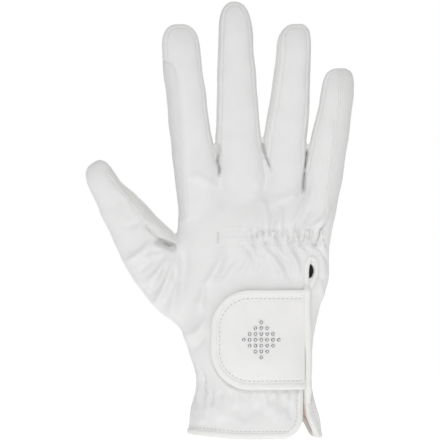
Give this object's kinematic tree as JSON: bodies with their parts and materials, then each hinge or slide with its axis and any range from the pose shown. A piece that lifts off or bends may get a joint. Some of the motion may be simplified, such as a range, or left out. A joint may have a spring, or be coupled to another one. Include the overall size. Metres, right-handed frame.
{
  "type": "horse riding glove",
  "caption": "White riding glove for the right hand, kept as worn, with knuckle shirring, a slit cuff, a wrist tab and round cut stones.",
  "frame": {"origin": "middle of the cuff's opening, in the plane of the hem", "axes": "+Z to the fingertips, +X to the little finger, +Y to the palm side; the back of the hand faces -Y"},
  "size_m": [0.1408, 0.0484, 0.234],
  "materials": {
    "back_fabric": "matt knitted stretch",
    "palm_leather": "fine grained synthetic leather",
    "trim_leather": "smooth synthetic leather",
    "crystal": "foiled cut stone"
  },
  "bodies": {
    "root": {"back_panel": "back_fabric", "palm_panel": "palm_leather", "index_side_panel": "palm_leather", "ulnar_side_panel": "back_fabric", "fourchette_index_middle": "back_fabric", "fourchette_middle_ring": "back_fabric", "fourchette_ring_little": "back_fabric", "thumb_front": "palm_leather", "thumb_back": "back_fabric", "slit_binding": "trim_leather", "hem_binding": "trim_leather", "closure_tab": "trim_leather", "tab_binding": "trim_leather", "crystal_01": "crystal", "crystal_02": "crystal", "crystal_03": "crystal", "crystal_04": "crystal", "crystal_05": "crystal", "crystal_06": "crystal", "crystal_07": "crystal", "crystal_08": "crystal", "crystal_09": "crystal", "crystal_10": "crystal", "crystal_11": "crystal", "crystal_12": "crystal", "crystal_13": "crystal", "crystal_14": "crystal", "crystal_15": "crystal", "crystal_16": "crystal", "crystal_17": "crystal", "crystal_18": "crystal", "crystal_19": "crystal", "crystal_20": "crystal", "crystal_21": "crystal", "crystal_22": "crystal", "crystal_23": "crystal", "crystal_24": "crystal", "crystal_25": "crystal"}
  },
  "joints": []
}
